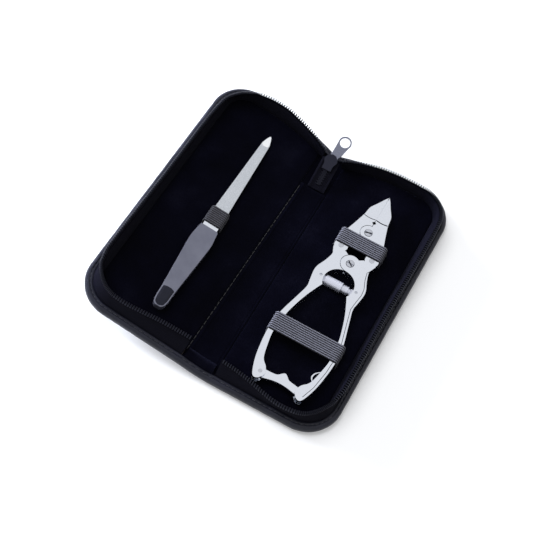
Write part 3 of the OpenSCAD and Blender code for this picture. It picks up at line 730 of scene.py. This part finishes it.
def spine_velvet():
    """Velvet strip with a raised seam on its left, over the lower layer that goes on to the slider."""
    low_y, high_y = TAPE_FOOT - HALF_LEN, HALF_LEN - TAPE_FOOT
    xs = steps_between(-SPINE_X + 0.1, SPINE_X - 0.02, 0.32)
    ys = (steps_between(low_y, STRIP_END - 0.4, 2.2)
          + [STRIP_END - 0.2, STRIP_END, STRIP_END + 0.08, STRIP_END + 0.3]
          + steps_between(STRIP_END + 1, high_y, 2.2))

    def height(x, y):
        edge = min(x + SPINE_X, SPINE_X - x)
        z = FLOOR_Z - 0.55 * (1 - smoothstep(edge / 0.7))
        z += 0.42 * math.exp(-((x - STRIP_SEAM_X) / 0.55) ** 2)
        z -= 0.22 * math.exp(-((x - STRIP_SEAM_X - 0.85) / 0.25) ** 2)
        z -= 0.25 * math.exp(-((x - 6.2) / 0.22) ** 2)
        z += 0.10 * noise.noise(Vector((x * 1.5, y, 0)) / 7) - 0.05
        if y > STRIP_END:
            z = FLOOR_Z - 0.75 + 0.1 * noise.noise(Vector((x, y, 5)) / 5)
        elif y > STRIP_END - 0.3:
            z -= 0.15
        return z

    rows = []
    for x in xs:
        drawn = [drawn_in(x, y) for y in ys]
        top = [spine_point(x, d, height(x, y)) for d, y in zip(drawn, ys)]
        rows.append(top + [spine_point(x, y, LEATHER_T + 0.05) for y in (drawn[-1], low_y)])
    points, faces = tube(rows, True)
    strip = sharp_edges(outward(build("spine_velvet", points, faces)), 75)
    spine_blend(strip, VELVET, ["spine_strip"])
    threads = []
    for y in steps_between(low_y + 4, STRIP_END - 3, 3.4)[:-1]:
        ends = (spine_point(STRIP_STITCH_X, v, 4.9) for v in (y, y + 3.0))
        threads.append(stitch(*ends, STRIP_THREAD_R))
    spine_blend(outward(joined("spine_stitches", threads)), SEAM_THREAD)


def gusset():
    """Velvet fold between the ends of the two tapes at the foot of the spine."""
    low_y = INNER - HALF_LEN
    rows = []
    for x in steps_between(-6.3, 6.3, 0.45):
        sag = 0.5 * math.cos(x / 6.3 * math.pi / 2)
        profile = [(2.2, 4.6), (1.6, 5.6), (0.6, 6.9 - sag), (-0.5, 7.7 - sag), (-1.4, 7.6 - sag),
                   (-2.6, 6.9 - sag), (-3.7, 6.2), (-4.1, 5.4), (-4.0, 4.6)]
        rows.append([spine_point(x, low_y + y, z) for y, z in profile])
    points, faces = tube(rows, True)
    fold = sharp_edges(outward(build("spine_fold", points, faces)), 75)
    spine_blend(fold, VELVET, ["spine_gusset"])


def on_chain(p):
    """A point of the slider's frame: origin in its middle, +Y along the climbing chain."""
    climb = (SLIDER_Y - STRIP_END) * math.tan(CHAIN_SLOPE)
    z0 = FLOOR_Z + climb + CHAIN_T / 2 - CHAIN_T * math.cos(CHAIN_SLOPE)
    x, y, z = p
    return Vector((x + CHAIN_X, SLIDER_Y + y * math.cos(CHAIN_SLOPE) - z * math.sin(CHAIN_SLOPE),
                   z0 + y * math.sin(CHAIN_SLOPE) + z * math.cos(CHAIN_SLOPE)))


def joined_chain():
    """Tape that climbs from the strip to the slider, with the closed teeth along its middle."""
    start = -(SLIDER_Y - STRIP_END) / math.cos(CHAIN_SLOPE)
    end = SLIDER_LEN / 2 - 2.6
    xs = steps_between(-CHAIN_HALF_WIDE, CHAIN_HALF_WIDE, 0.5)
    rows = []
    uvs = []
    for y in steps_between(start, end, 0.9):
        top = []
        for x in xs:
            fold = 0.5 * math.exp(-((x + 3.9) / 0.7) ** 2) - 0.25 * math.exp(-((x - 3.6) / 0.5) ** 2)
            pucker = 0.10 * math.sin(y * 1.1 + x)
            top.append(on_chain((x, y, CHAIN_T / 2 + fold + pucker)))
        under = [on_chain((x, y, -CHAIN_T / 2)) for x in reversed(xs)]
        rows.append(top + under)
        uvs += [(y, x) for x in xs] + [(y, x) for x in reversed(xs)]
    points, faces = tube(rows, True)
    tape = sharp_edges(outward(build("chain_tape", points, faces, None, uvs)), 60)
    dress(tape, "root", TAPE, ["zip_end_chain"])
    middle = CHAIN_T / 2 + 0.18
    turns = [k * math.pi / 4 for k in range(8)]
    parts = []
    for i, y in enumerate(steps_between(start + 3.2, end - 1.4, 0.72)):
        lean = 0.35 if i % 2 else -0.35
        rings = []
        for x, r in ((-1.5, 0.12), (-1.35, 0.3), (-0.5, 0.34), (0.5, 0.34), (1.35, 0.3), (1.5, 0.12)):
            rings.append([on_chain((x + lean, y + r * math.cos(w), middle + 1.2 * r * math.sin(w)))
                          for w in turns])
        parts.append(tube(rings, True))
    rungs = outward(joined("chain_rungs", parts))
    dress(rungs, "root", SLIDER_METAL)


# Elastic bands

def band(name, node, body, material, matrix, inner, wide, foot, under, ribs):
    """Ribbed elastic laid over a tool: legs that go into the velvet, and a drawn-tight top."""
    thick = 0.75
    r = 1.5
    half = inner / 2 + thick / 2
    top = under + thick / 2
    line = [(-half - 0.25, foot, 0.0)]
    for t in (0.25, 0.5, 0.75):
        line.append((-half - 0.25 * (1 - t), foot + (top - r - foot) * t, 0.0))
    for k in range(7):
        a = math.pi - k * math.pi / 12
        line.append((-half + r + r * math.cos(a), top - r + r * math.sin(a), 0.0))
    flat = steps_between(-half + r, 0, 1.6)[1:]
    line += [(x, top, 1.0) for x in flat]
    line += [(-x, z, f) for x, z, f in reversed(line[:-1])]
    across = [i / (ribs * 6) for i in range(ribs * 6 + 1)]
    rows = []
    uvs = []
    run = 0.0
    for k, (x, z, _) in enumerate(line):
        px, pz, _ = line[max(k - 1, 0)]
        nx, nz, _ = line[min(k + 1, len(line) - 1)]
        length = math.hypot(nx - px, nz - pz)
        ox, oz = -(nz - pz) / length, (nx - px) / length
        run += math.hypot(x - px, z - pz)
        sag = -0.12 * (1 - (x / half) ** 2)
        wave = 0.10 * math.sin(x * 0.7 + 1) + 0.06 * math.sin(x * 2.3)
        outer = []
        inner_row = []
        for v in across:
            y = (v - 0.5) * (wide - 0.1) + wave * (1 - abs(2 * v - 1)) * 0.5
            rib = 0.16 * abs(math.sin(math.pi * v * ribs)) ** 0.6
            edge = 1 - smoothstep(min(v, 1 - v) * wide / 0.5)
            out = thick / 2 - 0.13 + rib - 0.18 * edge
            outer.append((x + ox * out, y, z + oz * out + sag))
            inner_row.append((x - ox * thick / 2, y, z - oz * thick / 2 + sag * 0.3))
        rows.append(outer + inner_row[::-1])
        uvs += [(run, v * ribs) for v in across] + [(run, v * ribs) for v in reversed(across)]
    points, faces = tube(rows, True)
    obj = sharp_edges(outward(build(name, points, faces, matrix, uvs)), 70)
    dress(obj, body, material, [node])


# Tools

def rounded(node, name, body, material, width, segments=3, angle=38):
    """A copy of a solid whose flat facets are merged and whose edges are rounded."""
    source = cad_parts[node]
    mesh = source.data.copy()
    mesh.name = name
    bm = bmesh.new()
    bm.from_mesh(mesh)
    bmesh.ops.remove_doubles(bm, verts=bm.verts, dist=1e-6)
    bmesh.ops.dissolve_limit(bm, angle_limit=math.radians(1.5), verts=bm.verts, edges=bm.edges)
    bm.to_mesh(mesh)
    bm.free()
    obj = bpy.data.objects.new(name, mesh)
    bpy.context.scene.collection.objects.link(obj)
    bevel = obj.modifiers.new("round", "BEVEL")
    bevel.width = width * MM
    bevel.segments = segments
    bevel.limit_method = "ANGLE"
    bevel.angle_limit = math.radians(angle)
    bevel.harden_normals = False
    bevel.miter_outer = "MITER_ARC"
    evaluated = obj.evaluated_get(bpy.context.evaluated_depsgraph_get())
    obj.data = bpy.data.meshes.new_from_object(evaluated)
    obj.modifiers.clear()
    obj.data.polygons.foreach_set("use_smooth", [True] * len(obj.data.polygons))
    sharp_edges(obj, 32)
    flats = obj.modifiers.new("flats", "WEIGHTED_NORMAL")
    flats.keep_sharp = True
    return dress(obj, body, material, [node])


def tools():
    for node, body in (("nipper_handle_left", "handle_left"), ("nipper_handle_right", "handle_right"),
                       ("nipper_jaw_left", "jaw_left"), ("nipper_jaw_right", "jaw_right")):
        rounded(node, node + "_body", body, CHROME, 0.55, 3)
    rounded("catch_lever", "catch_body", "catch", CHROME, 0.45)
    rounded("catch_spring", "catch_leaf", "handle_right", CHROME, 0.12, 2)
    for node, body in (("handle_screw", "nippers"), ("jaw_screw", "jaw_pivot")):
        rounded(node, node + "_body", body, SCREW_STEEL, 0.14, 2, 30)
    for node, body in (("knuckle_pin_left", "handle_left"), ("knuckle_pin_right", "handle_right"),
                       ("spring_pin_left", "handle_left"), ("spring_pin_right", "handle_right"),
                       ("catch_pin", "handle_left")):
        rounded(node, node + "_body", body, SCREW_STEEL, 0.12, 2)
    rounded("spring_barrel", "spring_sleeve", "barrel", SLEEVE, 0.3, 3)
    rounded("spring_plunger", "spring_piston", "plunger", SLEEVE, 0.22, 3)
    rounded("spring_coil", "spring_wire", "barrel", SCREW_STEEL, 0.08, 2)
    rounded("file_blade", "file_blade_body", "file", BLADE, 0.18, 2)
    rounded("file_ferrule", "file_ferrule_body", "file", CHROME, 0.3, 3)
    rounded("file_handle", "file_handle_body", "file", HANDLE_GLOSS, 1.1, 4)
    rounded("zip_slider", "slider_body", "slider", SLIDER_METAL, 0.22, 3)
    rounded("zip_pull", "pull_body", "pull", PULL_METAL, 0.25, 3)


def on_nippers(x, y, z):
    return Vector((NIP_X + x, NIP_Y + y, NIP_Z + z))


def laid_line(name, line, r, body, material=SHADE_LINE_STEEL):
    """Thin line laid in the top of the nippers, through points of their own frame; its default dark steel is
    painted shade.
    """
    rows = []
    for i, p in enumerate(line):
        before, after = line[max(i - 1, 0)], line[min(i + 1, len(line) - 1)]
        along = (Vector(after) - Vector(before)).normalized()
        side = along.cross(Vector((0, 0, 1)))
        rows.append([on_nippers(*p) + side * (r * math.cos(a)) + Vector((0, 0, 0.5 * r * math.sin(a)))
                     for a in (k * math.pi / 4 for k in range(8))])
    points, faces = tube(rows, True)
    return dress(outward(build(name, points, faces)), body, material)


def nipper_lines():
    """Painted shadow of the step across the head, the shut jaws' edge, painted shade in the rings and slots
    of the screws and along the right handle's rim.
    """
    top = NIP_T
    # Painted shadow of the step across the head, thicker on the right jaw
    for side, body in ((-1, "jaw_left"), (1, "jaw_right")):
        line = [(side * x, 31.7 - 0.5 * math.sin(x / 7.3 * math.pi), top - 0.06)
                for x in (0.3, 1.5, 3, 4.5, 6, 7.0)]
        laid_line("head_step_shadow_" + body, line, 0.36 if side > 0 else 0.26, body)
    shut = [(0.0, y, top - 0.62 - (y - 31.5) * 0.088) for y in (31.6, 36, 40, 44, 47, 49)]
    laid_line("jaw_edge", shut, 0.24, "jaw_left", CHROME)
    # Painted shade: dark rings in the gap round the screw heads and dark lines in their slots
    for name, y, body, turn in (("lower", 0.0, "nippers", -0.7), ("upper", 22.3, "jaw_pivot", 0.35)):
        ring = [(2.15 * math.cos(a), y + 2.15 * math.sin(a), top + 0.03)
                for a in (k * math.pi / 18 for k in range(37))]
        laid_line(name + "_screw_ring_shade", ring, 0.16, body)
        reach = [(u * math.cos(turn), y + u * math.sin(turn), top + 0.2) for u in (-1.9, -1, 0, 1, 1.9)]
        laid_line(name + "_screw_slot_shade", reach, 0.33, body)
    # Painted shade: a dark line along the right handle's rim stands in for its shaded side face
    rim = [(11.6, 2.0), (10.2, -0.3), (11.3, -5), (13.2, -10), (13.6, -14), (12.8, -20), (12.4, -24.4),
           (14.4, -33), (17.2, -44.4), (18.2, -53.8), (17.8, -63.2), (16.1, -74.3), (13.6, -81.6)]
    laid_line("right_handle_rim_shade", [(x, y, top + 0.01) for x, y in rim], 0.15, "handle_right")


def across_at(y, side):
    """Half width of a tool at y, from a table of (y, half width) that falls in y."""
    for (y0, w0), (y1, w1) in zip(side, side[1:]):
        if y1 <= y <= y0:
            return w0 + (w1 - w0) * (y0 - y) / (y0 - y1)
    return side[-1][1]


def file_plate(name, side, from_y, to_y, inset, z, material):
    """Thin inlay on top of the file that follows its sides."""
    rows = []
    for y in steps_between(from_y, to_y, 0.5):
        half = max(across_at(y, side) - inset, 0.05)
        near = min(y - from_y, to_y - y)
        round_off = math.sqrt(max(0.0, 1 - (1 - min(near / 1.4, 1)) ** 2))
        wide = half * (0.35 + 0.65 * round_off)
        top = [Vector((u * wide, y, z + (0 if abs(u) < 1 else -0.1)))
               for u in (-1, -0.96, -0.5, 0, 0.5, 0.96, 1)]
        rows.append(top + [Vector((u * wide, y, z - 0.25)) for u in (0.9, -0.9)])
    points, faces = tube(rows, True)
    place = left_frame() @ Matrix.Translation((FILE_X, FILE_Y, 0)) @ Matrix.Rotation(FILE_LEAN, 4, "Z")
    dress(sharp_edges(outward(build(name, points, faces, place)), 40), "file", material)


def file_inlays():
    grip = [(0, 4.9), (-1.6, 5.4), (-8.4, 6.2), (-14, 6.1), (-24, 5.4), (-34, 4.6), (-44, 3.9), (-50, 3.7),
            (-52.8, 3.1), (-54.5, 1.6)]
    blade = [(69.6, 0.3), (69, 0.7), (66.8, 1.5), (64.5, 2.1), (62.5, 2.4), (40, 3.3)]
    file_plate("file_end_inlay", grip, -54.0, -42.2, 0.55, 9.14, HANDLE_DARK)
    file_plate("file_tip_face", blade, 62.3, 69.4, 0.1, 7.73, TIP_STEEL)


# Stage

FLOOR_WHITE = (0.80, 0.81, 0.83)
FLOOR_GLOW = 0.22
FILL_LEVEL = 0.45


def stage():
    scene = bpy.context.scene
    scene.view_settings.view_transform = "Standard"

    floor = build("floor", [(-3000, -3000, 0), (3000, -3000, 0), (3000, 3000, 0), (-3000, 3000, 0)],
                  [(0, 1, 2, 3)], smooth=False)
    floor.location.z = -0.02 * MM
    m = Shade("floor_white", FLOOR_WHITE, 0.9, Specular_IOR_Level=0.0)
    rays = m.node("ShaderNodeLightPath")
    seen = m.math("MAXIMUM", m.math("MAXIMUM", rays.outputs["Is Camera Ray"], rays.outputs["Is Glossy Ray"]),
                  rays.outputs["Is Transmission Ray"])
    m.shader.inputs["Emission Color"].default_value = (1, 1, 1, 1)
    m.link(m.math("MULTIPLY", seen, FLOOR_GLOW), m.shader.inputs["Emission Strength"])
    floor.data.materials.append(m.mat)

    world = bpy.data.worlds.new("studio")
    scene.world = world
    world.use_nodes = True
    nodes, links = world.node_tree.nodes, world.node_tree.links
    background = nodes["Background"]
    path = nodes.new("ShaderNodeLightPath")
    either = nodes.new("ShaderNodeMath")
    either.operation = "MAXIMUM"
    every = nodes.new("ShaderNodeMath")
    every.operation = "MAXIMUM"
    links.new(path.outputs["Is Camera Ray"], either.inputs[0])
    links.new(path.outputs["Is Glossy Ray"], either.inputs[1])
    links.new(either.outputs[0], every.inputs[0])
    links.new(path.outputs["Is Transmission Ray"], every.inputs[1])
    level = nodes.new("ShaderNodeMapRange")
    level.inputs["To Min"].default_value = FILL_LEVEL
    level.inputs["To Max"].default_value = 1.0
    links.new(every.outputs[0], level.inputs["Value"])
    links.new(level.outputs["Result"], background.inputs["Strength"])
    background.inputs["Color"].default_value = (1, 1, 1, 1)

    def lamp(name, kind, place, target, energy, size, color=(1, 1, 1)):
        data = bpy.data.lights.new(name, kind)
        data.energy = energy
        if kind == "SUN":
            data.angle = size
        else:
            data.shape = "RECTANGLE"
            data.size, data.size_y = size
        obj = bpy.data.objects.new(name, data)
        obj.location = Vector(place) * MM
        obj.rotation_mode = "QUATERNION"
        obj.rotation_quaternion = (Vector(target) - Vector(place)).to_track_quat("-Z", "Y")
        data.color = color
        obj.visible_glossy = False
        scene.collection.objects.link(obj)

    def card(name, corners):
        """Black card beside the set that only shows in the polished metal."""
        obj = build(name, corners, [(0, 1, 2, 3)], smooth=False)
        dark = Shade(name, (0.01, 0.01, 0.012), 1.0, Specular_IOR_Level=0.0)
        dark.color(dark.ramp(dark.noise(2), [(0, (0.01, 0.01, 0.012)), (1, (0.012, 0.012, 0.015))]))
        obj.data.materials.append(dark.mat)
        obj.visible_camera = False
        obj.visible_diffuse = False
        obj.visible_shadow = False

    card("right_card", [(520, -500, 0), (520, 700, 0), (520, 700, 230), (520, -500, 230)])
    card("back_card", [(-400, 620, 280), (500, 620, 280), (500, 620, 400), (-400, 620, 400)])
    card("front_card", [(-300, -640, 190), (500, -640, 190), (500, -640, 290), (-300, -640, 290)])
    lamp("key", "SUN", (-500, 260, 900), (0, 0, 0), 1.9, math.radians(42))
    lamp("side", "AREA", (-620, 120, 130), (-40, 0, 10), 17.0, (0.5, 0.18), (0.86, 0.90, 1.0))


def camera():
    data = bpy.data.cameras.new("camera")
    data.sensor_width = 36.0
    data.lens = FOCAL_PX / FRAME_PX * 36.0
    data.clip_start = 0.01
    data.clip_end = 50.0
    back = Vector((math.sin(VIEW_AZ) * math.cos(VIEW_EL), -math.cos(VIEW_AZ) * math.cos(VIEW_EL),
                   math.sin(VIEW_EL)))
    right = (-back).cross(Vector((0, 0, 1))).normalized()
    up = right.cross(-back)
    right, up = (right * math.cos(VIEW_ROLL) + up * math.sin(VIEW_ROLL),
                 up * math.cos(VIEW_ROLL) - right * math.sin(VIEW_ROLL))
    obj = bpy.data.objects.new("camera", data)
    turn = Matrix((right, up, back)).transposed().to_4x4()
    obj.matrix_world = Matrix.Translation((VIEW_TARGET + back * VIEW_DIST) * MM) @ turn
    bpy.context.scene.collection.objects.link(obj)
    bpy.context.scene.camera = obj


def carried_boards():
    for node in ("right_board", "left_board"):
        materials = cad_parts[node].data.materials
        for k in range(len(materials)):
            materials[k] = BOARD


camera()
stage()
for half in SIDES:
    leather_cover(half)
    velvet_lining(half)
    zip_half(half)
spine_leather()
spine_velvet()
gusset()
joined_chain()
carried_boards()
tools()
nipper_lines()
file_inlays()
band("upper_elastic", "nipper_band_upper", "root", ELASTIC,
     Matrix.Translation((NIP_X, NIP_Y + UPPER_BAND_AT, 0)), 25.8, 9.7, BAND_FOOT, BAND_UNDER, 8)
band("lower_elastic", "nipper_band_lower", "root", ELASTIC,
     Matrix.Translation((NIP_X, NIP_Y + LOWER_BAND_AT, 0)), 39.2, 11.0, BAND_FOOT, BAND_UNDER, 9)
band("file_elastic", "file_band", "left_half", FILE_ELASTIC,
     left_frame() @ Matrix.Translation((FILE_X, FILE_Y, 0)) @ Matrix.Rotation(FILE_LEAN, 4, "Z")
     @ Matrix.Translation((0, FILE_BAND_AT, 0)), 9.4, 10.7, BAND_FOOT, FILE_BAND_UNDER, 9)
